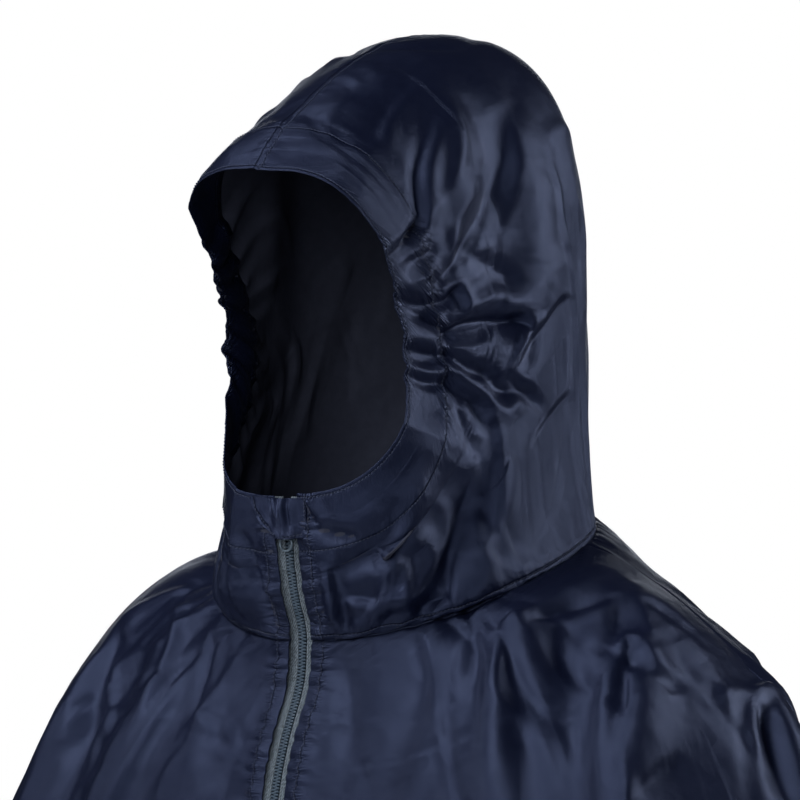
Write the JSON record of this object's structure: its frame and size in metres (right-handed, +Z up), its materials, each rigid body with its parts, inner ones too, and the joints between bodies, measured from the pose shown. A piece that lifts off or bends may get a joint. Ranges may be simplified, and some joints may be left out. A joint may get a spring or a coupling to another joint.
{
  "type": "poncho",
  "caption": "Hooded pull-on rain poncho in thin navy nylon, standing in its worn form, with an elasticated face opening, a short front zip and a guard over its top.",
  "frame": {"origin": "middle of the neck hole seen from above, level with the crest of the wearer's shoulders, which hold the garment up", "axes": "+Z up, +X to the wearer's left, and the face opening faces -Y"},
  "size_m": [0.9057, 0.4765, 1.2167],
  "materials": {
    "nylon": "thin coated nylon taffeta with a soft satin sheen",
    "zip_tape": "woven grey tape",
    "zip_teeth": "grey moulded teeth",
    "zip_metal": "slate enamel"
  },
  "bodies": {
    "poncho": {"hood_left": "nylon", "hood_right": "nylon", "front_panel": "nylon", "back_panel": "nylon", "chin_guard": "nylon", "zip_tape_left": "zip_tape", "zip_tape_right": "zip_tape", "zip_teeth": "zip_teeth", "zip_slider": "zip_metal", "zip_bottom_stop": "zip_metal", "zip_top_stop_left": "zip_metal", "zip_top_stop_right": "zip_metal"},
    "zip_pull": {"zip_pull": "zip_metal"}
  },
  "joints": [
    {"name": "pull_swing", "type": "hinge", "parent": "poncho", "child": "zip_pull", "pos_m": [0, -0.12622, 0.03648], "axis": [-1, 0, 0], "range_deg": [-5, 45]}
  ]
}
